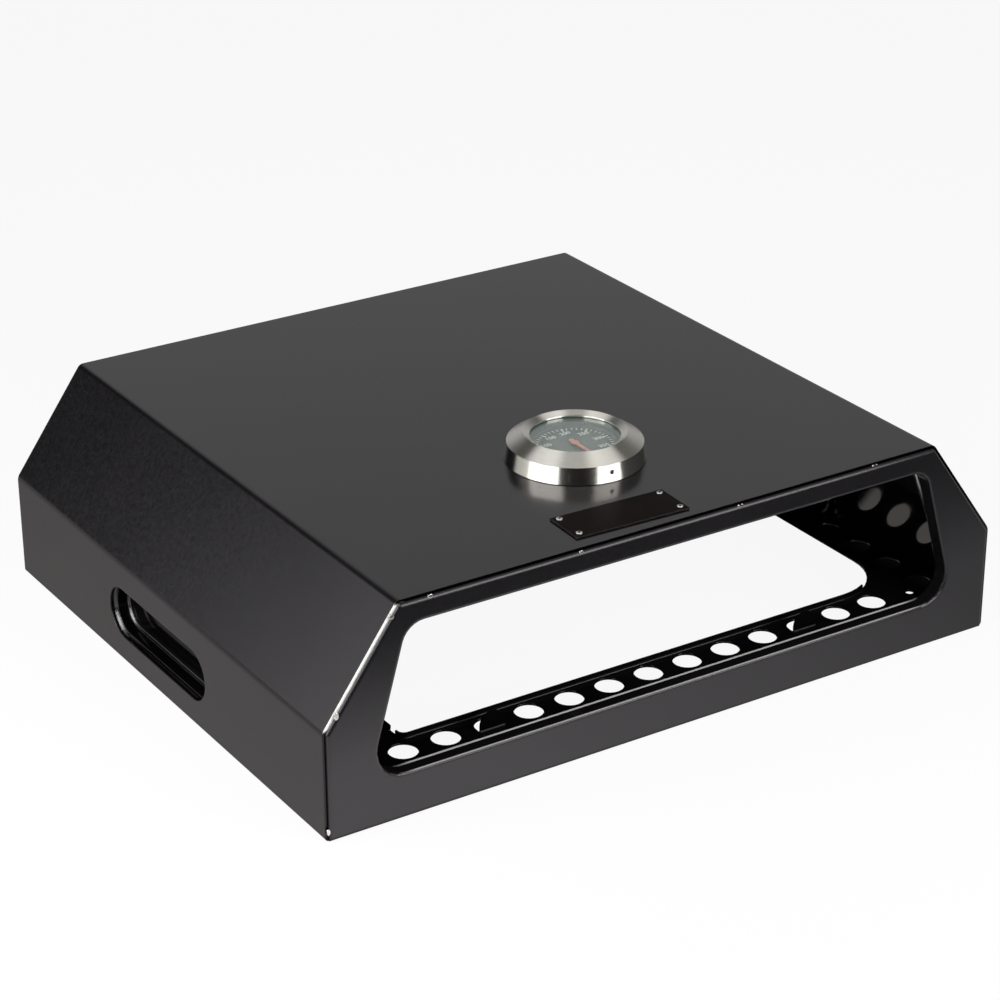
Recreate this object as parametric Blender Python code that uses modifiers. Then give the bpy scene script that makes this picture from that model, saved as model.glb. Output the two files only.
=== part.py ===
"""Barbecue pizza oven: a folded sheet-steel box that sits on a grill.

Metres, +Z up. The origin is the middle of the footprint, at the height of the grill.
The mouth faces -Y, and the thermometer stands on the lid.
"""
import bpy
import bmesh
from math import atan2, cos, hypot, pi, radians, sin, tan
from mathutils import Matrix, Vector

# Oven body
BODY_WIDTH = 0.400
BODY_DEPTH = 0.339
BODY_HEIGHT = 0.1146
SIDE_HEIGHT = 0.0573
SHOULDER_RUN = 0.041
SHELL_SHEET = 0.0012
SHELL_FOLD = 0.0018
SHELL_SETBACK = 0.0017
SHELL_HEM = 0.0055

# Fits
GAP = 0.0003
OVERRUN = 0.003
MERGE_DISTANCE = 0.00001

# Front and back panels
PANEL_SHEET = 0.0012
PANEL_FOLD = 0.0016
FLANGE_DEPTH = 0.0086
RELIEF_WIDTH = 0.0022

# Mouth in the front panel
MOUTH_SILL = 0.0241
MOUTH_BROW = 0.0131
MOUTH_TOP_MARGIN = 0.00475
MOUTH_BOTTOM_MARGIN = 0.02375
MOUTH_TOP_RADIUS = 0.012
MOUTH_BOTTOM_RADIUS = 0.015
MOUTH_LIP_DEPTH = 0.0087
MOUTH_LIP_FOLD = 0.0016

# Stone tray
TRAY_SHEET = 0.0010
TRAY_LEVEL = 0.0195
TRAY_FOLD = 0.0013
LEFT_LEDGE = 0.0608
RIGHT_LEDGE = 0.0338
END_LEDGE = 0.0345
APERTURE_LEFT_RADIUS = 0.0045
APERTURE_RIGHT_RADIUS = 0.0335
LIP_HEIGHT = 0.0029
LIP_LEFT_BREAK = 0.0110
LIP_RIGHT_BREAK = 0.0180
HOLE_DIAMETER = 0.0150
END_HOLES = 13
END_HOLE_INSET = 0.0252
END_ROW_MARGIN = 0.0566
SIDE_HOLES = 12
SIDE_HOLE_INSET = 0.0207
SIDE_ROW_MARGIN = 0.0316
CORNER_HOLE_DIAMETER = 0.0045
CORNER_HOLE_SIDE_INSET = 0.0326
CORNER_HOLE_END_INSET = 0.0230
STOP_STATION = 4
STOP_WIDTH = 0.0143
STOP_HEIGHT = 0.0096
STOP_INSET = 0.0215

# Side liners
LINER_SHEET = 0.0010
LINER_INSET = 0.0044
LINER_LEAN = 21.5
LINER_BEND_DROP = 0.0186
LINER_FLANGE = 0.0080
LINER_END_INSET = 0.0265
LINER_ROLL = 0.0028
LINER_FOLD = 0.0014

# Handle recesses
HANDLE_LENGTH = 0.106
HANDLE_HEIGHT = 0.028
HANDLE_CENTRE_Y = 0.0035
HANDLE_CENTRE_Z = 0.0285
HANDLE_DEPTH = 0.0105
HANDLE_DRAFT = 0.0022
HANDLE_SHEET = 0.0008
HANDLE_RIM = 0.005
HANDLE_FOLD = 0.0020
HANDLE_CLEARANCE = 0.0005

# Nameplate
PLATE_WIDTH = 0.0646
PLATE_DEPTH = 0.0248
PLATE_SHEET = 0.0006
PLATE_X = -0.0219
PLATE_INSET = 0.0211
PLATE_TURN = -2.0
RIVET_INSET = 0.0034
RIVET_HEAD = 0.0016
RIVET_HEAD_HEIGHT = 0.0005
RIVET_EYE = 0.0007
RIVET_SHANK = 0.0011
RIVET_TAIL = 0.0008

# Thermometer, heights above the lid
GAUGE_X = -0.0017
GAUGE_INSET = 0.0899
GASKET_RADIUS = 0.0345
GASKET_SHEET = 0.0008
BEZEL_FOOT_RADIUS = 0.0362
BEZEL_EDGE_RADIUS = 0.0348
BEZEL_EDGE_HEIGHT = 0.0091
BEZEL_CREST_RADIUS = 0.0264
BEZEL_CREST_HEIGHT = 0.0143
BEZEL_WINDOW_RADIUS = 0.0231
BEZEL_WINDOW_HEIGHT = 0.0124
BEZEL_SHEET = 0.0008
BEZEL_VENT = 0.0024
BEZEL_VENT_HEIGHT = 0.0052
BEZEL_VENT_SHIFT = 0.0017
GLASS_RADIUS = 0.0262
GLASS_SHEET = 0.0012
DIAL_RADIUS = 0.0210
DIAL_HEIGHT = 0.0056
DIAL_SHEET = 0.0005
DIAL_STEP_RADIUS = 0.0236
DIAL_STEP_HEIGHT = 0.0076
DIAL_RIM_RADIUS = 0.0302
DIAL_BORE = 0.0012
CASE_WALL = 0.0008
STEM_HEAD_RADIUS = 0.0070
STEM_HEAD_HEIGHT = 0.0012
THREAD_RADIUS = 0.0045
THREAD_LENGTH = 0.0100
PROBE_RADIUS = 0.0030
PROBE_LENGTH = 0.0360
PROBE_BORE = 0.0022
WASHER_RADIUS = 0.0090
WASHER_SHEET = 0.0010
NUT_ACROSS = 0.0140
NUT_HEIGHT = 0.0050
SPINDLE_RADIUS = 0.0005
COIL_RADIUS = 0.00145
COIL_WIRE = 0.00022
COIL_LENGTH = 0.028
COIL_TURNS = 12
COIL_POINTS = 12
NEEDLE_SHEET = 0.0004
NEEDLE_HEIGHT = 0.0067
NEEDLE_LENGTH = 0.0178
NEEDLE_TAIL = 0.0048
NEEDLE_HUB = 0.0021
NEEDLE_TIP = 0.0005
NEEDLE_ROOT = 0.0013

# Roundness and angles
ARC_STEPS = 6
WIDE_ARC_STEPS = 10
CUP_STEPS = 16
ROUND_STEPS = 64
WASHER_STEPS = 40
STEM_STEPS = 32
HOLE_STEPS = 24
SMALL_STEPS = 20
NEEDLE_BORE_STEPS = 16
RIVET_STEPS = 12
TIP_STEPS = 3
SHELL_FOLD_STEPS = 4
FOLD_STEPS = 3
TRAY_FOLD_STEPS = 2
SHELL_FOLD_ANGLE = 20
CUP_FOLD_ANGLE = 40
SMOOTH_ANGLE = 35
BEZEL_SMOOTH_ANGLE = 20
FLAT_ANGLE = 1

# Places that follow from the sizes above
FRONT = -BODY_DEPTH / 2
SEAT = SHELL_SHEET + GAP
LID_WIDTH = BODY_WIDTH - 2 * SHOULDER_RUN
GAUGE_Y = FRONT + GAUGE_INSET
PLATE_Y = FRONT + PLATE_INSET
APERTURE_LEFT = BODY_WIDTH / 2 - LEFT_LEDGE
APERTURE_RIGHT = BODY_WIDTH / 2 - RIGHT_LEDGE
APERTURE_HALF_DEPTH = BODY_DEPTH / 2 - END_LEDGE
END_HOLE_PITCH = (BODY_WIDTH - 2 * END_ROW_MARGIN) / (END_HOLES - 1)
SIDE_HOLE_PITCH = (BODY_DEPTH - 2 * SIDE_ROW_MARGIN) / (SIDE_HOLES - 1)
LINER_FOOT_X = BODY_WIDTH / 2 - LINER_INSET


def clear_scene():
    for obj in list(bpy.data.objects):
        bpy.data.objects.remove(obj, do_unlink=True)


def make_collection(name):
    coll = bpy.data.collections.new(name)
    bpy.context.scene.collection.children.link(coll)
    return coll


def make_material(name, colour, roughness, metallic=0.0, alpha=1.0):
    mat = bpy.data.materials.new(name)
    mat.use_nodes = True
    shader = mat.node_tree.nodes["Principled BSDF"]
    shader.inputs["Base Color"].default_value = (*colour, 1.0)
    shader.inputs["Roughness"].default_value = roughness
    shader.inputs["Metallic"].default_value = metallic
    shader.inputs["Alpha"].default_value = alpha
    mat.diffuse_color = (*colour, alpha)
    return mat


def satin_black_paint():
    return make_material("satin_black_paint", (0.045, 0.043, 0.045), 0.38)


def gloss_black_enamel():
    return make_material("gloss_black_enamel", (0.006, 0.006, 0.007), 0.12)


def plate_black():
    return make_material("plate_black", (0.012, 0.009, 0.009), 0.45)


def brushed_steel():
    return make_material("brushed_steel", (0.62, 0.61, 0.57), 0.28, 1.0)


def zinc_steel():
    return make_material("zinc_steel", (0.52, 0.52, 0.50), 0.42, 1.0)


def clear_glass():
    return make_material("clear_glass", (0.90, 0.94, 0.92), 0.04, 0.0, 0.25)


def dial_grey():
    return make_material("dial_grey", (0.10, 0.12, 0.11), 0.5)


def needle_orange():
    return make_material("needle_orange", (0.80, 0.28, 0.18), 0.45)


def black_rubber():
    return make_material("black_rubber", (0.010, 0.010, 0.010), 0.8)


def rivet_steel():
    return make_material("rivet_steel", (0.70, 0.68, 0.66), 0.3, 1.0)


def link(name, mesh, coll, material=None):
    obj = bpy.data.objects.new(name, mesh)
    coll.objects.link(obj)
    if material is not None:
        mesh.materials.append(material)
    return obj


def mesh_from(bm, name):
    bmesh.ops.recalc_face_normals(bm, faces=bm.faces)
    mesh = bpy.data.meshes.new(name)
    bm.to_mesh(mesh)
    bm.free()
    return mesh


def smooth(obj, angle=SMOOTH_ANGLE):
    obj.data.shade_smooth()
    obj.data.set_sharp_from_angle(angle=radians(angle))


def add_solidify(obj, thickness, offset=-1.0):
    mod = obj.modifiers.new("Sheet", "SOLIDIFY")
    mod.thickness = thickness
    mod.offset = offset
    mod.use_even_offset = True
    return mod


def add_bevel(obj, width, segments=FOLD_STEPS, angle=None):
    mod = obj.modifiers.new("Fold", "BEVEL")
    mod.width = width
    mod.segments = segments
    mod.use_clamp_overlap = True
    if angle is None:
        mod.limit_method = "WEIGHT"
    else:
        mod.limit_method = "ANGLE"
        mod.angle_limit = radians(angle)
    mod.loop_slide = False
    return mod


def add_boolean(obj, other, operation="DIFFERENCE"):
    mod = obj.modifiers.new(operation.title(), "BOOLEAN")
    mod.operation = operation
    mod.object = other
    mod.solver = "EXACT"
    return mod


def as_cutter(obj):
    obj.hide_render = True
    obj.display_type = "WIRE"
    return obj


def box_cutter(name, low, high, coll, turn=None, about=None):
    """A box between two corners, turned about the Y axis through a point."""
    bm = bmesh.new()
    bmesh.ops.create_cube(bm, size=1.0)
    size = [b - a for a, b in zip(low, high)]
    middle = [(a + b) / 2 for a, b in zip(low, high)]
    bmesh.ops.scale(bm, vec=size, verts=bm.verts)
    bmesh.ops.translate(bm, vec=middle, verts=bm.verts)
    if turn is not None:
        bmesh.ops.rotate(bm, cent=about, matrix=Matrix.Rotation(turn, 3, "Y"), verts=bm.verts)
    return as_cutter(link(name, mesh_from(bm, name), coll))


def rod_cutter(name, radius, low, high, centre, coll, axis="Z", steps=SMALL_STEPS):
    """A round cutter along Z or Y, from low to high on that axis."""
    bm = bmesh.new()
    bmesh.ops.create_cone(bm, cap_ends=True, segments=steps, radius1=radius, radius2=radius,
                          depth=high - low)
    if axis == "Y":
        bmesh.ops.rotate(bm, cent=(0, 0, 0), matrix=Matrix.Rotation(pi / 2, 3, "X"), verts=bm.verts)
    shift = Vector(centre)
    shift["XYZ".index(axis)] = (low + high) / 2
    bmesh.ops.translate(bm, vec=shift, verts=bm.verts)
    return as_cutter(link(name, mesh_from(bm, name), coll))


def rods_cutter(name, radius, low, high, places, coll, steps):
    """Equal upright round cutters at several (x, y) places, in one mesh."""
    bm = bmesh.new()
    middle = (low + high) / 2
    for x, y in places:
        bmesh.ops.create_cone(bm, cap_ends=True, segments=steps, radius1=radius, radius2=radius,
                              depth=high - low, matrix=Matrix.Translation((x, y, middle)))
    return as_cutter(link(name, mesh_from(bm, name), coll))


def turned(name, profile, coll, material, steps=ROUND_STEPS):
    """A profile of (radius, height) points, spun about the gauge's own axis."""
    bm = bmesh.new()
    verts = [bm.verts.new((r, 0, h)) for r, h in profile]
    pairs = list(zip(verts, verts[1:]))
    if profile[0][0] > 0 or profile[-1][0] > 0:
        pairs.append((verts[-1], verts[0]))
    for a, b in pairs:
        bm.edges.new((a, b))
    mesh = bpy.data.meshes.new(name)
    bm.to_mesh(mesh)
    bm.free()
    obj = link(name, mesh, coll, material)
    mod = obj.modifiers.new("Spin", "SCREW")
    mod.axis = "Z"
    mod.steps = steps
    mod.render_steps = steps
    mod.use_merge_vertices = True
    mod.merge_threshold = MERGE_DISTANCE
    mod.use_smooth_shade = True
    obj.location = (GAUGE_X, GAUGE_Y, BODY_HEIGHT)
    return obj


def mirrored(half):
    """The points of one half, left side first, then the same points on the right, going back."""
    return [(-x, z) for x, z in half] + [(x, z) for x, z in reversed(half)]


def body_profile(margin):
    """Left foot, left shoulder, lid corners, right shoulder and right foot as (x, z)."""
    lean = atan2(SHOULDER_RUN, BODY_HEIGHT - SIDE_HEIGHT)
    side = BODY_WIDTH / 2 - margin
    shoulder = SIDE_HEIGHT - margin * tan(lean / 2)
    lid = LID_WIDTH / 2 - margin * tan((pi / 2 - lean) / 2)
    top = BODY_HEIGHT - margin
    return mirrored([(side, 0), (side, shoulder), (lid, top)])


def arc(centre, radius, start, end, steps):
    return [(centre[0] + radius * cos(start + (end - start) * i / steps),
             centre[1] + radius * sin(start + (end - start) * i / steps)) for i in range(steps + 1)]


def rounded_corner(previous, corner, following, radius, steps):
    """Arc that rounds one corner of an outline."""
    c = Vector(corner)
    a = (Vector(previous) - c).normalized()
    b = (Vector(following) - c).normalized()
    half = a.angle(b) / 2
    centre = c + (a + b).normalized() * (radius / sin(half))
    first = c + a * (radius / tan(half)) - centre
    last = c + b * (radius / tan(half)) - centre
    start = atan2(first.y, first.x)
    sweep = atan2(last.y, last.x) - start
    sweep = (sweep + pi) % (2 * pi) - pi
    return arc(centre, radius, start, start + sweep, steps)


def mouth_outline():
    """Wide trapezoid with rounded corners, as (x, z)."""
    top = BODY_HEIGHT - MOUTH_BROW
    half_bottom = BODY_WIDTH / 2 - MOUTH_BOTTOM_MARGIN
    half_top = LID_WIDTH / 2 - MOUTH_TOP_MARGIN
    corners = [(-half_bottom, MOUTH_SILL), (half_bottom, MOUTH_SILL), (half_top, top), (-half_top, top)]
    radii = [MOUTH_BOTTOM_RADIUS, MOUTH_BOTTOM_RADIUS, MOUTH_TOP_RADIUS, MOUTH_TOP_RADIUS]
    points = []
    for i, corner in enumerate(corners):
        points += rounded_corner(corners[i - 1], corner, corners[(i + 1) % 4], radii[i], ARC_STEPS)
    return points


def stadium(length, height, steps):
    """Slot outline with round ends, as (along, up)."""
    straight = (length - height) / 2
    return (arc((straight, 0), height / 2, -pi / 2, pi / 2, steps)
            + arc((-straight, 0), height / 2, pi / 2, 3 * pi / 2, steps))


def ring_edges(bm, points, place):
    verts = [bm.verts.new(place(p)) for p in points]
    return [bm.edges.new((a, b)) for a, b in zip(verts, verts[1:] + verts[:1])]


def new_sheet():
    """An empty mesh whose fold lines can be marked for rounding."""
    bm = bmesh.new()
    bm.edges.layers.float.new("bevel_weight_edge")
    return bm


def fold_edges(bm, edges, shift, weight):
    """Extrude a rim along a direction and mark the fold line for rounding."""
    layer = bm.edges.layers.float["bevel_weight_edge"]
    for edge in edges:
        edge[layer] = weight
    made = bmesh.ops.extrude_edge_only(bm, edges=edges)
    verts = [g for g in made["geom"] if isinstance(g, bmesh.types.BMVert)]
    bmesh.ops.translate(bm, vec=shift, verts=verts)


def build_outer_shell(parts, cutters, paint):
    """Lid, shoulders and sides in one bent sheet."""
    hem = BODY_WIDTH / 2 - SHELL_HEM
    points = [(-hem, 0)] + body_profile(0) + [(hem, 0)]
    bm = bmesh.new()
    verts = [bm.verts.new((x, FRONT + SHELL_SETBACK, z)) for x, z in points]
    edges = [bm.edges.new((a, b)) for a, b in zip(verts, verts[1:])]
    made = bmesh.ops.extrude_edge_only(bm, edges=edges)
    moved = [g for g in made["geom"] if isinstance(g, bmesh.types.BMVert)]
    bmesh.ops.translate(bm, vec=(0, BODY_DEPTH - 2 * SHELL_SETBACK, 0), verts=moved)
    shell = link("outer_shell", mesh_from(bm, "outer_shell"), parts, paint)
    face_out(shell, Vector((0, 0, BODY_HEIGHT / 2)))
    add_bevel(shell, SHELL_FOLD, segments=SHELL_FOLD_STEPS, angle=SHELL_FOLD_ANGLE)
    add_solidify(shell, SHELL_SHEET)
    for side in (-1, 1):
        add_boolean(shell, slot_cutter(side, cutters))
    hole = THREAD_RADIUS + GAP
    add_boolean(shell, rod_cutter("cut_lid_gauge", hole, BODY_HEIGHT - SHELL_SHEET - OVERRUN,
                                  BODY_HEIGHT + OVERRUN, (GAUGE_X, GAUGE_Y, 0), cutters))
    add_boolean(shell, rods_cutter("cut_lid_rivets", RIVET_SHANK + GAP, BODY_HEIGHT - SHELL_SHEET - OVERRUN,
                                   BODY_HEIGHT + OVERRUN, rivet_places(), cutters, RIVET_STEPS))
    smooth(shell)
    return shell


def face_out(obj, inside):
    """Turn an open sheet so that its faces look away from a point inside."""
    mesh = obj.data
    total = sum((p.center - inside).dot(p.normal) * p.area for p in mesh.polygons)
    if total < 0:
        mesh.flip_normals()


def slot_cutter(side, cutters):
    """Slot through one side of the shell, as wide as the mouth of the cup behind it."""
    outline = stadium(HANDLE_LENGTH, HANDLE_HEIGHT, CUP_STEPS)
    inner = side * (BODY_WIDTH / 2 - SHELL_SHEET - OVERRUN)
    outer = side * (BODY_WIDTH / 2 + OVERRUN)
    bm = bmesh.new()
    verts = [bm.verts.new((inner, HANDLE_CENTRE_Y + u, HANDLE_CENTRE_Z + v)) for u, v in outline]
    face = bm.faces.new(verts)
    made = bmesh.ops.extrude_face_region(bm, geom=[face])
    moved = [g for g in made["geom"] if isinstance(g, bmesh.types.BMVert)]
    bmesh.ops.translate(bm, vec=(outer - inner, 0, 0), verts=moved)
    name = "cut_slot_left" if side < 0 else "cut_slot_right"
    return as_cutter(link(name, mesh_from(bm, name), cutters))


def build_handle_cup(name, side, parts, enamel):
    """Pressed finger recess: a rim behind the sheet, tapering walls and a flat back."""
    face_x = side * (BODY_WIDTH / 2 - SEAT)
    rim = stadium(HANDLE_LENGTH + 2 * HANDLE_RIM, HANDLE_HEIGHT + 2 * HANDLE_RIM, CUP_STEPS)
    mouth = stadium(HANDLE_LENGTH, HANDLE_HEIGHT, CUP_STEPS)
    back = stadium(HANDLE_LENGTH - 2 * HANDLE_DRAFT, HANDLE_HEIGHT - 2 * HANDLE_DRAFT, CUP_STEPS)
    depths = [(rim, 0), (mouth, 0), (back, HANDLE_DEPTH - SEAT)]
    bm = bmesh.new()
    rings = []
    for outline, deep in depths:
        x = face_x - side * deep
        rings.append(ring_edges(bm, outline, lambda p: (x, HANDLE_CENTRE_Y + p[0], HANDLE_CENTRE_Z + p[1])))
    for near, far in zip(rings, rings[1:]):
        bmesh.ops.bridge_loops(bm, edges=near + far)
    bmesh.ops.edgeloop_fill(bm, edges=rings[-1])
    mesh = mesh_from(bm, name)
    cup = link(name, mesh, parts, enamel)
    rim_face = max(mesh.polygons, key=lambda p: abs(p.center.x))
    if rim_face.normal.x * side < 0:
        mesh.flip_normals()
    add_bevel(cup, HANDLE_FOLD, angle=CUP_FOLD_ANGLE)
    add_solidify(cup, HANDLE_SHEET)
    smooth(cup)
    return cup


def build_panel(name, side, with_mouth, parts, cutters, paint):
    """Front or back sheet with its flanges folded under the shell."""
    face_y = side * BODY_DEPTH / 2
    outline = body_profile(SEAT)
    bm = new_sheet()
    outer = ring_edges(bm, outline, lambda p: (p[0], face_y, p[1]))
    inner = []
    if with_mouth:
        inner = ring_edges(bm, mouth_outline(), lambda p: (p[0], face_y, p[1]))
    bmesh.ops.triangle_fill(bm, use_beauty=True, use_dissolve=False, edges=outer + inner)
    fold_edges(bm, outer, (0, -side * FLANGE_DEPTH, 0), 1.0)
    if with_mouth:
        fold_edges(bm, inner, (0, -side * MOUTH_LIP_DEPTH, 0), MOUTH_LIP_FOLD / PANEL_FOLD)
    bmesh.ops.dissolve_limit(bm, angle_limit=radians(FLAT_ANGLE), verts=bm.verts, edges=bm.edges)
    mesh = mesh_from(bm, name)
    panel = link(name, mesh, parts, paint)
    face = max(mesh.polygons, key=lambda p: p.area)
    if face.normal.y * side < 0:
        mesh.flip_normals()
    add_bevel(panel, PANEL_FOLD)
    add_solidify(panel, PANEL_SHEET)
    for cutter in relief_cutters(name, side, outline, cutters) + foot_cutters(name, side, cutters):
        add_boolean(panel, cutter)
    smooth(panel)
    return panel


def relief_cutters(name, side, outline, cutters):
    """Slits that part neighbouring flanges at each corner of the panel."""
    made = []
    near = side * (BODY_DEPTH / 2 - PANEL_FOLD - PANEL_SHEET)
    far = side * (BODY_DEPTH / 2 - FLANGE_DEPTH - OVERRUN)
    low_y, high_y = sorted((near, far))
    count = len(outline)
    for i, corner in enumerate(outline):
        c = Vector((corner[0], corner[1]))
        a = (Vector(outline[i - 1]) - c).normalized()
        b = (Vector(outline[(i + 1) % count]) - c).normalized()
        inward = (a + b).normalized()
        reach = PANEL_SHEET + PANEL_FOLD + OVERRUN
        low = (corner[0] - RELIEF_WIDTH / 2, low_y, corner[1] - OVERRUN)
        high = (corner[0] + RELIEF_WIDTH / 2, high_y, corner[1] + reach)
        turn = atan2(inward.x, inward.y)
        made.append(box_cutter("cut_%s_relief_%d" % (name, i + 1), low, high, cutters,
                               turn=turn, about=(corner[0], 0, corner[1])))
    return made


def foot_cutters(name, side, cutters):
    """Notches that clear the shell's hem at both ends of the foot flange."""
    low_z = -OVERRUN
    high_z = SHELL_SHEET + GAP
    near = side * (BODY_DEPTH / 2 - SHELL_SETBACK + GAP)
    far = side * (BODY_DEPTH / 2 - FLANGE_DEPTH - OVERRUN)
    low_y, high_y = sorted((near, far))
    made = []
    for edge in (-1, 1):
        low_x, high_x = sorted((edge * (BODY_WIDTH / 2 - SHELL_HEM - GAP),
                                edge * (BODY_WIDTH / 2 + OVERRUN)))
        made.append(box_cutter("cut_%s_foot_%s" % (name, "left" if edge < 0 else "right"),
                               (low_x, low_y, low_z), (high_x, high_y, high_z), cutters))
    return made


def stop_places():
    """Places of the bent-up stone stops, as (x, row side)."""
    return [(x * STOP_STATION * END_HOLE_PITCH, row) for row in (-1, 1) for x in (-1, 1)]


def hole_places():
    """Centres of the floor holes: a row in front and behind, and one along each side."""
    half = END_HOLES // 2
    stations = [i for i in range(-half, half + 1) if abs(i) != STOP_STATION]
    end_y = BODY_DEPTH / 2 - END_HOLE_INSET
    places = [(i * END_HOLE_PITCH, row * end_y) for row in (-1, 1) for i in stations]
    middle = (SIDE_HOLES - 1) / 2
    side_x = BODY_WIDTH / 2 - SIDE_HOLE_INSET
    places += [(row * side_x, (i - middle) * SIDE_HOLE_PITCH) for row in (-1, 1) for i in range(SIDE_HOLES)]
    return places


def aperture_outline():
    """The floor opening, rounded more tightly at its left corners."""
    corners = [(-APERTURE_LEFT, -APERTURE_HALF_DEPTH), (APERTURE_RIGHT, -APERTURE_HALF_DEPTH),
               (APERTURE_RIGHT, APERTURE_HALF_DEPTH), (-APERTURE_LEFT, APERTURE_HALF_DEPTH)]
    radii = [APERTURE_LEFT_RADIUS, APERTURE_RIGHT_RADIUS, APERTURE_RIGHT_RADIUS, APERTURE_LEFT_RADIUS]
    steps = [ARC_STEPS, WIDE_ARC_STEPS, WIDE_ARC_STEPS, ARC_STEPS]
    points = []
    for i, corner in enumerate(corners):
        points += rounded_corner(corners[i - 1], corner, corners[(i + 1) % 4], radii[i], steps[i])
    return points


def build_stone_tray(parts, cutters, enamel):
    """Floor frame: a skirt to the foot flanges, a perforated ledge and a lip round the opening."""
    half_x = BODY_WIDTH / 2 - SEAT - PANEL_SHEET - GAP
    half_y = BODY_DEPTH / 2 - PANEL_SHEET - GAP
    foot = PANEL_SHEET + GAP
    bm = new_sheet()
    outline = [(-half_x, -half_y), (half_x, -half_y), (half_x, half_y), (-half_x, half_y)]
    outer = ring_edges(bm, outline, lambda p: (p[0], p[1], TRAY_LEVEL))
    inner = ring_edges(bm, aperture_outline(), lambda p: (p[0], p[1], TRAY_LEVEL))
    bmesh.ops.triangle_fill(bm, use_beauty=True, use_dissolve=False, edges=outer + inner)
    fold_edges(bm, outer, (0, 0, foot - TRAY_LEVEL), 1.0)
    fold_edges(bm, inner, (0, 0, LIP_HEIGHT), 1.0)
    bmesh.ops.dissolve_limit(bm, angle_limit=radians(FLAT_ANGLE), verts=bm.verts, edges=bm.edges)
    mesh = mesh_from(bm, "stone_tray")
    tray = link("stone_tray", mesh, parts, enamel)
    ledge = max(mesh.polygons, key=lambda p: abs(p.normal.z) * p.area)
    if ledge.normal.z < 0:
        mesh.flip_normals()
    add_bevel(tray, TRAY_FOLD, segments=TRAY_FOLD_STEPS)
    add_solidify(tray, TRAY_SHEET)
    for cutter in lip_break_cutters(cutters):
        add_boolean(tray, cutter)
    below = TRAY_LEVEL - TRAY_SHEET - OVERRUN
    above = TRAY_LEVEL + OVERRUN
    corner_x = BODY_WIDTH / 2 - CORNER_HOLE_SIDE_INSET
    corner_y = BODY_DEPTH / 2 - CORNER_HOLE_END_INSET
    corners = [(x * corner_x, y * corner_y) for x in (-1, 1) for y in (-1, 1)]
    add_boolean(tray, rods_cutter("cut_tray_holes", HOLE_DIAMETER / 2, below, above,
                                  hole_places(), cutters, HOLE_STEPS))
    add_boolean(tray, rods_cutter("cut_tray_corner_holes", CORNER_HOLE_DIAMETER / 2, below, above,
                                  corners, cutters, SMALL_STEPS))
    for side in (-1, 1):
        add_boolean(tray, cup_clearance_cutter(side, cutters))
    for i, (x, row) in enumerate(stop_places()):
        add_boolean(tray, stop_window_cutter(i, x, row, cutters))
        add_boolean(tray, stop_tab(i, x, row, cutters), "UNION")
    smooth(tray)
    return tray


def lip_break_cutters(cutters):
    """Blocks that part the lip at each corner of the opening, down to the ledge."""
    low_z = TRAY_LEVEL + GAP
    high_z = TRAY_LEVEL + LIP_HEIGHT + OVERRUN
    left = (-APERTURE_LEFT - OVERRUN, -APERTURE_LEFT + APERTURE_LEFT_RADIUS + OVERRUN)
    right = (APERTURE_RIGHT - LIP_RIGHT_BREAK, APERTURE_RIGHT + OVERRUN)
    left_reach = (APERTURE_HALF_DEPTH - LIP_LEFT_BREAK,
                  APERTURE_HALF_DEPTH - APERTURE_LEFT_RADIUS - TRAY_SHEET)
    right_reach = (APERTURE_HALF_DEPTH - LIP_RIGHT_BREAK, APERTURE_HALF_DEPTH + OVERRUN)
    made = []
    for row, end in ((-1, "front"), (1, "back")):
        for (low_x, high_x), reach, side in ((left, left_reach, "left"), (right, right_reach, "right")):
            low_y, high_y = sorted((row * reach[0], row * reach[1]))
            made.append(box_cutter("cut_lip_%s_%s" % (end, side), (low_x, low_y, low_z),
                                   (high_x, high_y, high_z), cutters))
    return made


def build_liner(name, side, parts, cutters, enamel):
    """Leaning inner wall from the ledge up to the shoulder, with rolled front and back edges."""
    lean = radians(LINER_LEAN)
    shoulder = atan2(SHOULDER_RUN, BODY_HEIGHT - SIDE_HEIGHT)
    length = BODY_DEPTH - 2 * LINER_END_INSET
    foot = (LINER_FOOT_X, TRAY_LEVEL + GAP)
    bend_z = BODY_HEIGHT - LINER_BEND_DROP
    bend = (foot[0] - (bend_z - foot[1]) * tan(lean), bend_z)
    top = (bend[0] - LINER_FLANGE * sin(shoulder), bend[1] + LINER_FLANGE * cos(shoulder))
    bm = new_sheet()
    verts = [bm.verts.new((side * x, -length / 2, z)) for x, z in (foot, bend, top)]
    edges = [bm.edges.new((a, b)) for a, b in zip(verts, verts[1:])]
    made = bmesh.ops.extrude_edge_only(bm, edges=edges)
    moved = [g for g in made["geom"] if isinstance(g, bmesh.types.BMVert)]
    bmesh.ops.translate(bm, vec=(0, length, 0), verts=moved)
    ends = [e for e in bm.edges if abs(e.verts[0].co.y - e.verts[1].co.y) < GAP]
    fold_edges(bm, ends, (side * LINER_ROLL, 0, 0), 1.0)
    mesh = mesh_from(bm, name)
    liner = link(name, mesh, parts, enamel)
    wall = max(mesh.polygons, key=lambda p: p.area)
    if wall.normal.x * side > 0:
        mesh.flip_normals()
    add_bevel(liner, LINER_FOLD)
    add_solidify(liner, LINER_SHEET)
    add_boolean(liner, liner_window_cutter(side, cutters))
    smooth(liner)
    return liner


def cup_envelope(side, margin):
    """Box round a handle cup's pocket and its clearance, as two corners."""
    near, far = sorted((side * (BODY_WIDTH / 2 - HANDLE_DEPTH - HANDLE_SHEET - margin),
                        side * (BODY_WIDTH / 2 + OVERRUN)))
    half_y = HANDLE_LENGTH / 2 + margin
    half_z = HANDLE_HEIGHT / 2 + margin
    return ((near, HANDLE_CENTRE_Y - half_y, HANDLE_CENTRE_Z - half_z),
            (far, HANDLE_CENTRE_Y + half_y, HANDLE_CENTRE_Z + half_z))


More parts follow.
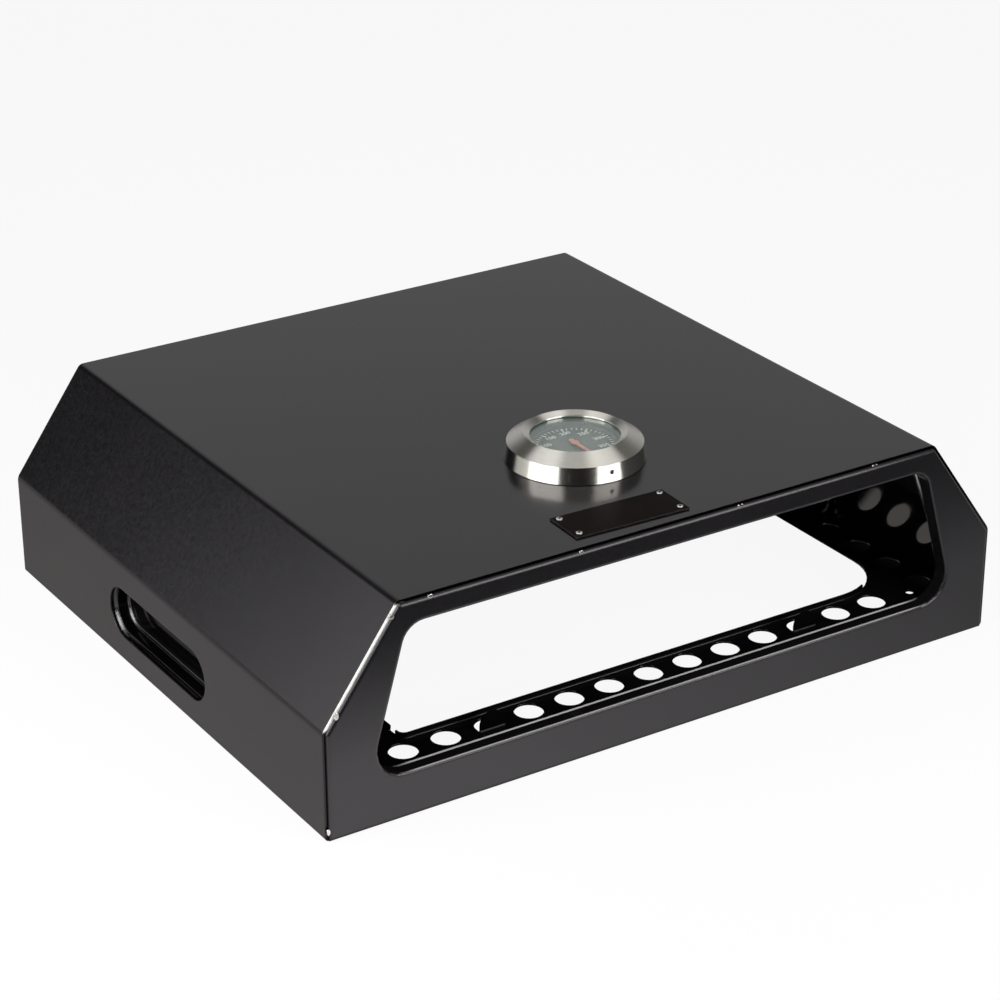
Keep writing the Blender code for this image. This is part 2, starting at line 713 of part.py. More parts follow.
def liner_window_cutter(side, cutters):
    """Bay in the foot of a liner that clears the handle cup."""
    low, high = cup_envelope(side, HANDLE_SHEET + HANDLE_CLEARANCE)
    name = "cut_liner_bay_left" if side < 0 else "cut_liner_bay_right"
    inner = side * LINER_FOOT_X / 2
    return box_cutter(name, (min(low[0], inner), low[1], low[2]),
                      (max(high[0], inner), high[1], high[2]), cutters)


def cup_clearance_cutter(side, cutters):
    """Bay in the edge of the tray that clears a handle cup and its rim."""
    low, high = cup_envelope(side, HANDLE_CLEARANCE)
    spare = HANDLE_RIM + HANDLE_CLEARANCE
    low = (low[0], low[1] - spare, TRAY_SHEET - OVERRUN)
    high = (high[0], high[1] + spare, TRAY_LEVEL + OVERRUN)
    return box_cutter("cut_tray_bay_left" if side < 0 else "cut_tray_bay_right", low, high, cutters)


def stop_outline(width, height):
    """Upright tab with a round top, as (across, up) from its fold."""
    radius = width / 2
    points = arc((0, height - radius), radius, 0, pi, ARC_STEPS * 2)
    return [(radius, 0)] + points + [(-radius, 0)]


def prism(name, points, place, shift, coll, material=None):
    """An outline set in place and drawn out along a straight line."""
    bm = bmesh.new()
    face = bm.faces.new([bm.verts.new(place(p)) for p in points])
    made = bmesh.ops.extrude_face_region(bm, geom=[face])
    moved = [g for g in made["geom"] if isinstance(g, bmesh.types.BMVert)]
    bmesh.ops.translate(bm, vec=shift, verts=moved)
    bmesh.ops.remove_doubles(bm, verts=bm.verts, dist=MERGE_DISTANCE)
    return link(name, mesh_from(bm, name), coll, material)


def stop_window_cutter(index, x, row, cutters):
    """Window left in the ledge where a stop was bent up."""
    bottom = TRAY_LEVEL - TRAY_SHEET - OVERRUN
    stop_y = BODY_DEPTH / 2 - STOP_INSET
    points = stop_outline(STOP_WIDTH + 2 * GAP, STOP_HEIGHT + GAP)
    return as_cutter(prism("cut_stop_window_%d" % (index + 1), points,
                           lambda p: (x + p[0], row * (stop_y - p[1]), bottom),
                           (0, 0, TRAY_SHEET + 2 * OVERRUN), cutters))


def stop_tab(index, x, row, cutters):
    """The tab itself, standing on the ledge in front of its window."""
    root = TRAY_LEVEL - TRAY_SHEET / 2
    stop_y = BODY_DEPTH / 2 - STOP_INSET
    points = stop_outline(STOP_WIDTH, STOP_HEIGHT + TRAY_SHEET / 2)
    return as_cutter(prism("stop_tab_%d" % (index + 1), points,
                           lambda p: (x + p[0], row * stop_y, root + p[1]),
                           (0, row * TRAY_SHEET, 0), cutters))


def rivet_places():
    """Four rivets inset from the corners of the nameplate, which sits slightly askew."""
    half_x = PLATE_WIDTH / 2 - RIVET_INSET
    half_y = PLATE_DEPTH / 2 - RIVET_INSET
    turn = Matrix.Rotation(radians(PLATE_TURN), 2)
    places = []
    for x, y in ((-1, -1), (1, -1), (1, 1), (-1, 1)):
        offset = turn @ Vector((x * half_x, y * half_y))
        places.append((PLATE_X + offset.x, PLATE_Y + offset.y))
    return places


def build_nameplate(parts, cutters, black):
    bm = bmesh.new()
    bmesh.ops.create_cube(bm, size=1.0)
    bmesh.ops.scale(bm, vec=(PLATE_WIDTH, PLATE_DEPTH, PLATE_SHEET), verts=bm.verts)
    plate = link("nameplate", mesh_from(bm, "nameplate"), parts, black)
    plate.location = (PLATE_X, PLATE_Y, BODY_HEIGHT + GAP + PLATE_SHEET / 2)
    plate.rotation_euler.z = radians(PLATE_TURN)
    add_boolean(plate, rods_cutter("cut_plate_rivets", RIVET_SHANK + GAP, BODY_HEIGHT,
                                   BODY_HEIGHT + PLATE_SHEET + OVERRUN, rivet_places(), cutters,
                                   RIVET_STEPS))
    return plate


def build_rivets(parts, steel):
    """Eyelet heads on the plate, shanks through the lid and formed tails below it."""
    seat = PLATE_SHEET + 2 * GAP
    crown = seat + RIVET_HEAD_HEIGHT
    tail = -(SHELL_SHEET + GAP)
    shoulder = (RIVET_HEAD + RIVET_EYE) / 2
    profile = [(0, seat), (RIVET_EYE, seat), (RIVET_EYE, crown), (shoulder, crown),
               (RIVET_HEAD, seat + RIVET_HEAD_HEIGHT / 2), (RIVET_HEAD, seat), (RIVET_SHANK, seat),
               (RIVET_SHANK, tail), (RIVET_SHANK + RIVET_TAIL, tail),
               (RIVET_SHANK + RIVET_TAIL, tail - RIVET_TAIL), (0, tail - RIVET_TAIL)]
    for i, (x, y) in enumerate(rivet_places()):
        rivet = turned("nameplate_rivet_%d" % (i + 1), profile, parts, steel, steps=SMALL_STEPS)
        rivet.location = (x, y, BODY_HEIGHT)


def gauge_levels():
    """Stacking heights in the thermometer, from the lid up."""
    levels = {"gasket": GAP}
    levels["case"] = levels["gasket"] + GASKET_SHEET + GAP
    levels["case_floor"] = levels["case"] + CASE_WALL
    levels["stem_head"] = levels["case_floor"] + GAP
    levels["glass_top"] = BEZEL_WINDOW_HEIGHT - BEZEL_SHEET - GAP
    levels["glass"] = levels["glass_top"] - GLASS_SHEET
    levels["dial_rim_top"] = levels["glass"] - GAP
    levels["dial_rim"] = levels["dial_rim_top"] - DIAL_SHEET
    levels["case_top"] = levels["dial_rim"] - GAP
    return levels


def build_bezel(parts, cutters, steel):
    """Flared skirt, sloping ring, crest and inner rim in one pressed sheet."""
    foot = GAP
    outer = [(BEZEL_WINDOW_RADIUS, BEZEL_WINDOW_HEIGHT), (BEZEL_CREST_RADIUS, BEZEL_CREST_HEIGHT),
             (BEZEL_EDGE_RADIUS, BEZEL_EDGE_HEIGHT), (BEZEL_FOOT_RADIUS, foot)]
    slope = atan2(BEZEL_CREST_HEIGHT - BEZEL_EDGE_HEIGHT, BEZEL_EDGE_RADIUS - BEZEL_CREST_RADIUS)
    crest = (BEZEL_CREST_RADIUS, BEZEL_CREST_HEIGHT - BEZEL_SHEET / cos(slope))
    edge = (BEZEL_EDGE_RADIUS - BEZEL_SHEET, BEZEL_EDGE_HEIGHT - BEZEL_SHEET * tan(slope))
    inner = [(BEZEL_FOOT_RADIUS - BEZEL_SHEET, foot), edge, crest,
             (BEZEL_WINDOW_RADIUS, BEZEL_WINDOW_HEIGHT - BEZEL_SHEET)]
    bezel = turned("thermometer_bezel", outer + inner, parts, steel)
    middle = GAUGE_Y - BEZEL_FOOT_RADIUS
    centre = (GAUGE_X - BEZEL_VENT_SHIFT, 0, BODY_HEIGHT + BEZEL_VENT_HEIGHT)
    add_boolean(bezel, rod_cutter("cut_bezel_vent", BEZEL_VENT / 2, middle - OVERRUN, middle + OVERRUN,
                                  centre, cutters, axis="Y", steps=RIVET_STEPS))
    smooth(bezel, BEZEL_SMOOTH_ANGLE)
    return bezel


def build_glass(parts, glass):
    levels = gauge_levels()
    profile = [(0, levels["glass_top"]), (GLASS_RADIUS, levels["glass_top"]),
               (GLASS_RADIUS, levels["glass"]), (0, levels["glass"])]
    return turned("thermometer_glass", profile, parts, glass)


def build_dial(parts, grey):
    """Pressed dish: flat face, stepped wall and a rim that rests on the case."""
    levels = gauge_levels()
    wall = DIAL_RADIUS + DIAL_SHEET
    step = DIAL_STEP_RADIUS + DIAL_SHEET
    under = DIAL_HEIGHT - DIAL_SHEET
    step_under = DIAL_STEP_HEIGHT - DIAL_SHEET
    profile = [(DIAL_BORE, DIAL_HEIGHT), (DIAL_RADIUS, DIAL_HEIGHT), (DIAL_RADIUS, DIAL_STEP_HEIGHT),
               (DIAL_STEP_RADIUS, DIAL_STEP_HEIGHT), (DIAL_STEP_RADIUS, levels["dial_rim_top"]),
               (DIAL_RIM_RADIUS, levels["dial_rim_top"]), (DIAL_RIM_RADIUS, levels["dial_rim"]),
               (step, levels["dial_rim"]), (step, step_under), (wall, step_under),
               (wall, under), (DIAL_BORE, under)]
    return turned("thermometer_dial", profile, parts, grey)


def build_case(parts, zinc):
    """Cup that stands on the gasket and holds the dial's rim."""
    levels = gauge_levels()
    profile = [(DIAL_RIM_RADIUS - CASE_WALL, levels["case_top"]), (DIAL_RIM_RADIUS, levels["case_top"]),
               (DIAL_RIM_RADIUS, levels["case"]), (THREAD_RADIUS + GAP, levels["case"]),
               (THREAD_RADIUS + GAP, levels["case_floor"]),
               (DIAL_RIM_RADIUS - CASE_WALL, levels["case_floor"])]
    return turned("thermometer_case", profile, parts, zinc)


def build_gasket(parts, rubber):
    levels = gauge_levels()
    low = levels["gasket"]
    high = low + GASKET_SHEET
    bore = THREAD_RADIUS + GAP
    profile = [(bore, high), (GASKET_RADIUS, high), (GASKET_RADIUS, low), (bore, low)]
    return turned("thermometer_gasket", profile, parts, rubber)


def probe_tip():
    """Height of the closed end of the stem."""
    return -(THREAD_LENGTH + PROBE_LENGTH)


def build_stem(parts, steel):
    """Headed, threaded and closed tube that hangs into the oven."""
    head = gauge_levels()["stem_head"]
    tip = probe_tip()
    wall = PROBE_RADIUS - PROBE_BORE
    round_end = arc((0, tip + PROBE_RADIUS), PROBE_RADIUS, 0, -pi / 2, TIP_STEPS)
    round_end[-1] = (0, tip)
    outer = [(PROBE_BORE, head + STEM_HEAD_HEIGHT), (STEM_HEAD_RADIUS, head + STEM_HEAD_HEIGHT),
             (STEM_HEAD_RADIUS, head), (THREAD_RADIUS, head), (THREAD_RADIUS, -THREAD_LENGTH),
             (PROBE_RADIUS, -THREAD_LENGTH)]
    inner = [(0, tip + 2 * wall), (PROBE_BORE, tip + PROBE_RADIUS)]
    return turned("thermometer_stem", outer + round_end + inner, parts, steel, steps=STEM_STEPS)


def build_washer(parts, zinc):
    top = -(SHELL_SHEET + GAP)
    bore = THREAD_RADIUS + GAP
    low = top - WASHER_SHEET
    profile = [(bore, top), (WASHER_RADIUS, top), (WASHER_RADIUS, low), (bore, low)]
    return turned("thermometer_washer", profile, parts, zinc, steps=WASHER_STEPS)


def build_nut(parts, cutters, zinc):
    top = -(SHELL_SHEET + WASHER_SHEET + 2 * GAP)
    bm = bmesh.new()
    radius = NUT_ACROSS / 2 / cos(pi / 6)
    bmesh.ops.create_cone(bm, cap_ends=True, segments=6, radius1=radius, radius2=radius, depth=NUT_HEIGHT)
    nut = link("thermometer_nut", mesh_from(bm, "thermometer_nut"), parts, zinc)
    nut.location = (GAUGE_X, GAUGE_Y, BODY_HEIGHT + top - NUT_HEIGHT / 2)
    low = BODY_HEIGHT + top - NUT_HEIGHT - OVERRUN
    high = BODY_HEIGHT + top + OVERRUN
    add_boolean(nut, rod_cutter("cut_nut_bore", THREAD_RADIUS + GAP, low, high,
                                (GAUGE_X, GAUGE_Y, 0), cutters))
    return nut


def build_spindle(parts, steel, pivot):
    """Thin rod from the foot of the winding up through the dial."""
    low = probe_tip() + PROBE_RADIUS
    high = NEEDLE_HEIGHT + NEEDLE_SHEET
    profile = [(0, high), (SPINDLE_RADIUS, high), (SPINDLE_RADIUS, low), (0, low)]
    spindle = turned("thermometer_spindle", profile, parts, steel, steps=RIVET_STEPS)
    attach(spindle, pivot)
    return spindle


def attach(obj, pivot):
    """Hang a piece on the pointer's pivot without moving it."""
    spot = obj.location.copy()
    obj.parent = pivot
    obj.location = spot - pivot.location


def build_needle(parts, cutters, orange, pivot):
    """Flat pointer: round hub, short tail and long tapering blade towards -Y."""
    tail = arc((0, NEEDLE_TAIL - NEEDLE_ROOT), NEEDLE_ROOT, 0, pi, ARC_STEPS)
    reach = atan2(NEEDLE_ROOT, NEEDLE_HUB)
    left = arc((0, 0), NEEDLE_HUB, pi / 2 + reach, 3 * pi / 2 - reach, ARC_STEPS)
    right = [(-x, y) for x, y in reversed(left)]
    tip = [(-NEEDLE_TIP, -NEEDLE_LENGTH), (NEEDLE_TIP, -NEEDLE_LENGTH)]
    points = tail + left + tip + right
    needle = prism("thermometer_needle", points, lambda p: (p[0], p[1], 0),
                   (0, 0, NEEDLE_SHEET), parts, orange)
    needle.location = (GAUGE_X, GAUGE_Y, BODY_HEIGHT + NEEDLE_HEIGHT)
    low = BODY_HEIGHT + NEEDLE_HEIGHT - OVERRUN
    high = BODY_HEIGHT + NEEDLE_HEIGHT + NEEDLE_SHEET + OVERRUN
    add_boolean(needle, rod_cutter("cut_needle_bore", SPINDLE_RADIUS + GAP, low, high,
                                   (GAUGE_X, GAUGE_Y, 0), cutters, steps=NEEDLE_BORE_STEPS))
    attach(needle, pivot)
    return needle


def build_coil(parts, steel):
    """Wound bimetal strip round the spindle, low in the stem."""
    low = probe_tip() + PROBE_RADIUS + COIL_WIRE + GAP
    curve = bpy.data.curves.new("bimetal_coil", "CURVE")
    curve.dimensions = "3D"
    curve.bevel_depth = COIL_WIRE
    curve.bevel_resolution = 1
    curve.use_fill_caps = True
    spline = curve.splines.new("POLY")
    count = COIL_TURNS * COIL_POINTS
    spline.points.add(count)
    for i, point in enumerate(spline.points):
        turn = 2 * pi * i / COIL_POINTS
        point.co = (COIL_RADIUS * cos(turn), COIL_RADIUS * sin(turn), low + COIL_LENGTH * i / count, 1.0)
    curve.materials.append(steel)
    coil = bpy.data.objects.new("bimetal_coil", curve)
    parts.objects.link(coil)
    coil.location = (GAUGE_X, GAUGE_Y, BODY_HEIGHT)
    return coil


def make_pivot(parts):
    """Empty on the pointer's axis."""
    pivot = bpy.data.objects.new("pointer_pivot", None)
    pivot.location = (GAUGE_X, GAUGE_Y, BODY_HEIGHT + NEEDLE_HEIGHT)
    parts.objects.link(pivot)
    return pivot


def build_thermometer(parts, cutters):
    steel = brushed_steel()
    zinc = zinc_steel()
    pivot = make_pivot(parts)
    build_gasket(parts, black_rubber())
    build_case(parts, zinc)
    build_bezel(parts, cutters, steel)
    build_dial(parts, dial_grey())
    build_glass(parts, clear_glass())
    build_stem(parts, steel)
    build_washer(parts, zinc)
    build_nut(parts, cutters, zinc)
    build_coil(parts, steel)
    build_spindle(parts, steel, pivot)
    build_needle(parts, cutters, needle_orange(), pivot)


def main():
    clear_scene()
    parts = make_collection("barbecue_pizza_oven")
    cutters = make_collection("cutters")
    paint = satin_black_paint()
    enamel = gloss_black_enamel()
    build_outer_shell(parts, cutters, paint)
    build_panel("front_panel", -1, True, parts, cutters, paint)
    build_panel("back_panel", 1, False, parts, cutters, paint)
    build_stone_tray(parts, cutters, enamel)
    build_liner("left_side_liner", -1, parts, cutters, enamel)
    build_liner("right_side_liner", 1, parts, cutters, enamel)
    build_handle_cup("left_handle_cup", -1, parts, enamel)
    build_handle_cup("right_handle_cup", 1, parts, enamel)
    build_nameplate(parts, cutters, plate_black())
    build_rivets(parts, rivet_steel())
    build_thermometer(parts, cutters)


main()
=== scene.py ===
"""Looks for the barbecue pizza oven: materials, dial print, weld beads, light, floor and camera."""

import bpy
import bmesh
from math import asin, cos, radians, sin
from mathutils import Matrix, Vector, noise


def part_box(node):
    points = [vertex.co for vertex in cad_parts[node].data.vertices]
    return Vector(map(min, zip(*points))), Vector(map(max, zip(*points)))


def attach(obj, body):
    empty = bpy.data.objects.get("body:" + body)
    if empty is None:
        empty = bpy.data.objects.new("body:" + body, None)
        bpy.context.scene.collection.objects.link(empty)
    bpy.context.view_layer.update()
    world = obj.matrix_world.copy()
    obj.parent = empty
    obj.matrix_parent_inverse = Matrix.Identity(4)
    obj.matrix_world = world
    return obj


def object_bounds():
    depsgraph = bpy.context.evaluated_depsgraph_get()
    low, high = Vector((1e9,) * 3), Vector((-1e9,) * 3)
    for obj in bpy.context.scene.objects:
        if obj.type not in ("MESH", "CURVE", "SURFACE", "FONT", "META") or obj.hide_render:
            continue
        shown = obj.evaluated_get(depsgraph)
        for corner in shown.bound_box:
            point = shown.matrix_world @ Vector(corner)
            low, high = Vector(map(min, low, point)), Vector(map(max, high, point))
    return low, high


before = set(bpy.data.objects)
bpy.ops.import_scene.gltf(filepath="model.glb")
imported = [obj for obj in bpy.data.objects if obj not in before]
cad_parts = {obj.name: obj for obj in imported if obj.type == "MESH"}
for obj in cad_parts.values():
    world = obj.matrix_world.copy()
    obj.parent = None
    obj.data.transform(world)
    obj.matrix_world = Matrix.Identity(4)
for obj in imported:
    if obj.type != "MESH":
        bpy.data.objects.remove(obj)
cad_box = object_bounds()

# Dial print: the scale in degrees, its angle at one value, and the marks and figures in metres
SCALE_FIRST = 50
SCALE_LAST = 400
SCALE_STEP = 10
SCALE_MAJOR = 50
SCALE_REFERENCE = 100
SCALE_REFERENCE_ANGLE = 298.0
SCALE_DEGREES = 0.755
TICK_OUTER = 0.0204
TICK_MINOR = 0.0020
TICK_MAJOR = 0.0032
TICK_WIDTH = 0.00060
TICK_MAJOR_WIDTH = 0.00090
NUMBER_RADIUS = 0.0146
NUMBER_SIZE = 0.0041
PRINT_SHEET = 0.00006
NEEDLE_LIFT = 0.0011

# Places taken from the model, in metres
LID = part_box("outer_shell")[1].z
GAUGE_LOW, GAUGE_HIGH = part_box("thermometer_bezel")
GAUGE = (GAUGE_LOW + GAUGE_HIGH) / 2
DIAL_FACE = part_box("thermometer_needle")[0].z - NEEDLE_LIFT
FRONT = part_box("front_panel")[0].y

# Weld beads along the front seam, as (x, z, half width, half height)
BEADS = ((-0.1419, 0.1129, 0.0015, 0.0009), (-0.0585, 0.1129, 0.0013, 0.0008),
         (0.0342, 0.1130, 0.0008, 0.0007), (0.0362, 0.1135, 0.0005, 0.0004),
         (0.1183, 0.1136, 0.0008, 0.0005), (0.1202, 0.1137, 0.0004, 0.0004),
         (-0.1627, 0.1081, 0.0013, 0.0013), (-0.1930, 0.0654, 0.0013, 0.0019),
         (-0.1990, 0.0054, 0.0009, 0.0019))
BEAD_DEPTH = 0.0008
BEAD_INSET = 0.0004
BEAD_MARGIN = 0.00005
BEAD_LUMP = 0.28
BEAD_LUMP_SCALE = 1.7
BEAD_LUMP_STEP = 3.1

# Front edge of the shell, back from the front panel: its cut face, and how far the painted highlight on it
# reaches
SHELL_EDGE = 0.0017
CUT_FACE = 0.00008
HIGHLIGHT_REACH = 0.0004

# Stretches over which a mask on the shell's front edge rises or falls, as x or z
HIGHLIGHT_LEFT = (-0.156, -0.154)
HIGHLIGHT_LOW = (0.0575, 0.0590)
HIGHLIGHT_HIGH = (0.1122, 0.1134)
CUT_RISE = (0.0585, 0.1130)
CUT_LEAST = 0.45

# The same for the painted highlights on the mouth's sill, with its fold and lip measured back from the front
# panel
SILL_SIDE = (0.150, 0.160)
SILL_LOW = (0.0222, 0.0226)
SILL_HIGH = (0.0246, 0.0250)
SILL_FOLD = (0.0010, 0.0014)
SILL_FOLD_LOW = (0.0235, 0.0239)
SILL_FOLD_LEVEL = 0.45
SILL_LIP = (0.0070, 0.0074)
SILL_LIP_END = (0.0088, 0.0090)
SILL_LIP_LEVEL = 0.85

# Heights of the tray's ledge, where its lip starts above and its skirt below
LEDGE_HIGH = (0.0199, 0.0202)
LEDGE_LOW = (0.0165, 0.0170)

# Front roll of the liners, and the folds of the handle cups, where highlights are painted, in from the end
# or side of the oven
LINER_END = 0.0265
LINER_ROLL = 0.0018
LINER_FADE = 0.0002
CUP_LIP = (0.0012, 0.0036)
CUP_BACK_FOLD = (0.0090, 0.0097)
CUP_FADE_IN = 0.0002
CUP_FADE_OUT = 0.0004

# Brushed rings of turned steel per metre, and how they vary round the axis
BRUSH_RINGS = 2600.0
BRUSH_ROUND = 5.0

# Parts of the studio that the oven mirrors: direction, inner and outer angle in degrees, level
BACKDROP = ((0.4875, 0.7625, 0.40), 20, 38, 0.45)
CEILING = ((-0.25, -0.40, 0.88), 18, 40, 0.38)
ZENITH = ((0, 0, 1), 12, 32, 0.30)
HIGH_LEFT = ((-0.24, 0.39, 0.887), 8, 20, 0.9)
HIGH_RIGHT = ((0.444, -0.054, 0.894), 8, 20, 0.9)
GLOW_LEFT = ((-0.8365, 0.4830, 0.2588), 20, 25.5, 1.9)
GAP_LEFT = ((-0.50, 0.83, 0.27), 16, 42, 0.14)
GAP_CAMERA = ((-0.5386, -0.8425, 0.35), 24, 38, 0.14)
STUDIO_LEVEL = 0.15
DIFFUSE_LEVEL = 0.20

# Floor, and how far below the oven it lies
FLOOR_RADIUS = 6.0
FLOOR_DROP = 0.0004
FLOOR_GLOW = 0.92
FLOOR_WARM = (1.0, 0.955, 0.925)

# Painted light and painted shadow of the floor in reflections, over stretches measured out from the sides or
# front of the oven's box
CLEAR_EDGE = (-0.006, 0.003)
STRIP_INNER = (-0.036, -0.032)
STRIP_OUTER = (-0.014, -0.011)
STRIP_LEVEL = 0.9
AHEAD_START = (-0.004, 0.0)
AHEAD_NEAR = (-0.162, -0.060)

# The same over stretches of x or y, with the levels at their two ends
STRIP_NEAR = (-0.130, -0.124)
STRIP_FAR = (-0.044, -0.038)
ACROSS = (-0.10, 0.22)
ACROSS_LEVELS = (1.42, 0.56)
ALONG = (-0.16, 0.22)
ALONG_LEVELS = (0.52, 0.37)

# Soft panels that face the oven, as (name, place, size, watts)
PANELS = (("panel_left", (-0.60, -0.12, 0.34), (0.62, 0.62), 5.2),
          ("panel_right", (0.29, -0.84, 0.38), (0.64, 0.66), 7.0))
PANEL_AIM = (0, 0, 0.06)

# Camera: place, direction, tilt of its picture in degrees, and lens and sensor in millimetres
CAMERA_PLACE = (-0.75814, -1.19252, 0.72260)
CAMERA_AHEAD = (0.4874495, 0.7625091, -0.4254091)
CAMERA_TILT = -0.177
CAMERA_LENS = 105.34
CAMERA_SENSOR = 36


class Graph:
    """A material's node tree, with short calls that add and join nodes."""

    def __init__(self, name):
        self.mat = bpy.data.materials.new(name)
        self.mat.use_nodes = True
        self.tree = self.mat.node_tree
        self.shader = self.tree.nodes["Principled BSDF"]

    def add(self, kind, **settings):
        made = self.tree.nodes.new(kind)
        for key, value in settings.items():
            setattr(made, key, value)
        return made

    def join(self, source, target):
        self.tree.links.new(source, target)

    def put(self, socket, value):
        """Set a socket to a number or colour, or feed it from another socket."""
        if isinstance(value, bpy.types.NodeSocket):
            self.join(value, socket)
        else:
            socket.default_value = value

    def coat(self, **values):
        """Put values in the shader's sockets, named with _ for each space."""
        for key, value in values.items():
            self.put(self.shader.inputs[key.replace("_", " ")], value)

    def place(self):
        """The piece's own coordinates in metres."""
        return self.add("ShaderNodeTexCoord").outputs["Object"]

    def parts(self, vector):
        """The x, y and z of a vector."""
        split = self.add("ShaderNodeSeparateXYZ")
        self.join(vector, split.inputs["Vector"])
        return split.outputs

    def noise(self, vector, scale, detail=3.0, rough=0.5):
        made = self.add("ShaderNodeTexNoise")
        made.inputs["Scale"].default_value = scale
        made.inputs["Detail"].default_value = detail
        made.inputs["Roughness"].default_value = rough
        self.join(vector, made.inputs["Vector"])
        return made.outputs["Fac"]

    def span(self, value, low, high, from_low=0.3, from_high=0.7):
        """low up to from_low, high beyond from_high, and even in between."""
        made = self.add("ShaderNodeMapRange")
        made.inputs["From Min"].default_value = from_low
        made.inputs["From Max"].default_value = from_high
        made.inputs["To Min"].default_value = low
        made.inputs["To Max"].default_value = high
        self.join(value, made.inputs["Value"])
        return made.outputs["Result"]

    def rise(self, value, stretch, level=1.0):
        """0 before the stretch and the level beyond it."""
        return self.span(value, 0.0, level, *stretch)

    def fall(self, value, stretch, level=1.0):
        """The level before the stretch and 0 beyond it."""
        return self.span(value, level, 0.0, *stretch)

    def blend(self, fac, first, second):
        """Mix two colours, through the mix node's colour sockets."""
        made = self.add("ShaderNodeMix", data_type="RGBA")
        self.put(made.inputs[0], fac)
        self.put(made.inputs[6], first)
        self.put(made.inputs[7], second)
        return made.outputs[2]

    def math(self, operation, first, second=None):
        made = self.add("ShaderNodeMath", operation=operation)
        self.put(made.inputs[0], first)
        if second is not None:
            self.put(made.inputs[1], second)
        return made.outputs[0]

    def product(self, first, *others):
        """All the values multiplied."""
        for other in others:
            first = self.math("MULTIPLY", first, other)
        return first

    def vector(self, operation, first, second):
        made = self.add("ShaderNodeVectorMath", operation=operation)
        self.put(made.inputs[0], first)
        self.put(made.inputs[1], second)
        return made.outputs["Value" if operation == "DOT_PRODUCT" else "Vector"]

    def rounded(self, radius):
        made = self.add("ShaderNodeBevel", samples=4)
        made.inputs["Radius"].default_value = radius
        return made.outputs["Normal"]

    def bump(self, height, strength, distance, normal=None):
        made = self.add("ShaderNodeBump")
        made.inputs["Strength"].default_value = strength
        made.inputs["Distance"].default_value = distance
        self.join(height, made.inputs["Height"])
        if normal is not None:
            self.join(normal, made.inputs["Normal"])
        return made.outputs["Normal"]

    def edge_mask(self, radius, low=0.02, high=0.3):
        """1 on sharp edges and 0 on flats."""
        facet = self.add("ShaderNodeNewGeometry").outputs["Normal"]
        alike = self.vector("DOT_PRODUCT", self.rounded(radius), facet)
        return self.rise(self.math("SUBTRACT", 1.0, alike), (low, high))

    def length(self, x, y):
        """Length of the flat vector x, y."""
        return self.math("SQRT", self.math("ADD", self.product(x, x), self.product(y, y)))


def colour(r, g, b):
    return (r, g, b, 1.0)


def back(stretch):
    """A stretch measured back from the front panel, as y."""
    return [FRONT + end for end in stretch]


def shell_edges(g):
    """Masks on the shell's front edge: a painted highlight at the left shoulder, and painted shade that
    turns the cut face black elsewhere.
    """
    x, y, z = g.parts(g.place())
    edge = FRONT + SHELL_EDGE
    start = g.rise(y, (edge - 2 * CUT_FACE, edge - CUT_FACE))
    painted_highlight = g.fall(y, (edge + HIGHLIGHT_REACH, edge + HIGHLIGHT_REACH + CUT_FACE))
    cut = g.fall(y, (edge + CUT_FACE / 2, edge + CUT_FACE))
    shoulder = g.product(g.fall(x, HIGHLIGHT_LEFT), g.rise(z, HIGHLIGHT_LOW), g.fall(z, HIGHLIGHT_HIGH))
    elsewhere = g.math("SUBTRACT", g.span(z, CUT_LEAST, 1.0, *CUT_RISE), shoulder)
    dark = g.product(elsewhere, start, cut)
    return g.product(shoulder, start, painted_highlight), g.math("MAXIMUM", dark, 0.0)


def sill_edges(g):
    """1 where painted highlights lie on the mouth's sill: along its front fold and along the back edge of
    its lip.
    """
    x, y, z = g.parts(g.place())
    within = g.fall(g.math("ABSOLUTE", x), SILL_SIDE)
    height = g.product(g.rise(z, SILL_LOW), g.fall(z, SILL_HIGH))
    lip = g.product(g.rise(y, back(SILL_LIP), SILL_LIP_LEVEL), g.fall(y, back(SILL_LIP_END)))
    fold = g.product(g.fall(y, back(SILL_FOLD), SILL_FOLD_LEVEL), g.rise(z, SILL_FOLD_LOW))
    return g.product(within, height, g.math("MAXIMUM", lip, fold))


def satin_paint():
    """Black powder coat: a fine orange peel, a soft sheen and slightly rubbed edges, with painted highlights
    on the shell's left shoulder edge and on the sill, and painted shade on the shell's cut face.
    """
    g = Graph("satin_black_powder_coat")
    place = g.place()
    broad = g.noise(place, 14.0, 4.0)
    fine = g.noise(place, 1300.0, 2.0)
    grain = g.noise(place, 420.0, 3.0)
    base = g.blend(g.span(broad, 0.0, 1.0), colour(0.0047, 0.0042, 0.0049), colour(0.0070, 0.0063, 0.0072))
    worn = g.blend(g.product(g.edge_mask(0.0006), 0.2), base, colour(0.06, 0.058, 0.058))
    # Painted highlight in near white on the shell's left shoulder edge, and painted shade that makes its cut
    # face black
    painted_highlight, dark = shell_edges(g)
    # The sill's fold and lip get painted highlights in the same near white
    highlighted = g.blend(g.math("MAXIMUM", painted_highlight, sill_edges(g)), worn, colour(0.84, 0.83, 0.80))
    g.coat(Base_Color=g.blend(dark, highlighted, colour(0.002, 0.002, 0.002)), Metallic=dark,
           Roughness=g.span(grain, 0.14, 0.21), IOR=1.5, Specular_Tint=colour(1.0, 0.955, 0.99),
           Normal=g.bump(fine, 0.07, 0.0002, g.rounded(0.0010)))
    return g.mat


